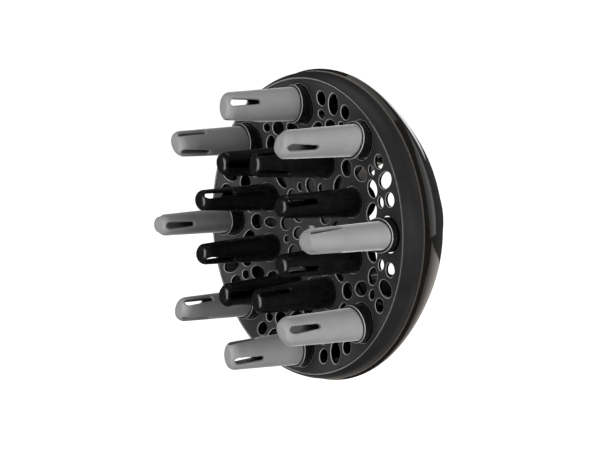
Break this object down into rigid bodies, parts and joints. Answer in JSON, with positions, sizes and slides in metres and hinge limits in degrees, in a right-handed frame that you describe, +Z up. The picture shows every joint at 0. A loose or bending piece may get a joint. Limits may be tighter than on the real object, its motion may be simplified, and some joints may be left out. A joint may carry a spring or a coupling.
{
  "type": "hair dryer diffuser",
  "caption": "Bowl-shaped hair dryer diffuser with a concave vented face, two rings of hollow slotted fingers and a round push-on nozzle bore.",
  "frame": {"origin": "on the axis of the nozzle bore, half way along its wall", "axes": "+Y along the axis, the way the dryer's nozzle leaves; the fingers point to -Y; +Z up; +X to the right seen from the fingers"},
  "size_m": [0.1412, 0.1027, 0.1412],
  "materials": {
    "soft_grey": "satin soft-touch grey skin",
    "gloss_black": "polished black moulding",
    "charcoal_plastic": "fine matte charcoal moulding",
    "satin_band": "satin charcoal moulding",
    "gloss_shell": "high-gloss black moulding"
  },
  "bodies": {
    "root": {"vent_plate": "charcoal_plastic", "trim_band": "satin_band", "rear_shell": "gloss_shell", "finger_carrier": "gloss_black", "air_baffle": "charcoal_plastic", "outer_finger_1": "soft_grey", "inner_finger_1": "gloss_black", "outer_finger_2": "soft_grey", "inner_finger_2": "gloss_black", "outer_finger_3": "soft_grey", "inner_finger_3": "gloss_black", "outer_finger_4": "soft_grey", "inner_finger_4": "gloss_black", "outer_finger_5": "soft_grey", "inner_finger_5": "gloss_black", "outer_finger_6": "soft_grey", "inner_finger_6": "gloss_black", "outer_finger_7": "soft_grey", "inner_finger_7": "gloss_black", "outer_finger_8": "soft_grey", "inner_finger_8": "gloss_black"}
  },
  "joints": []
}
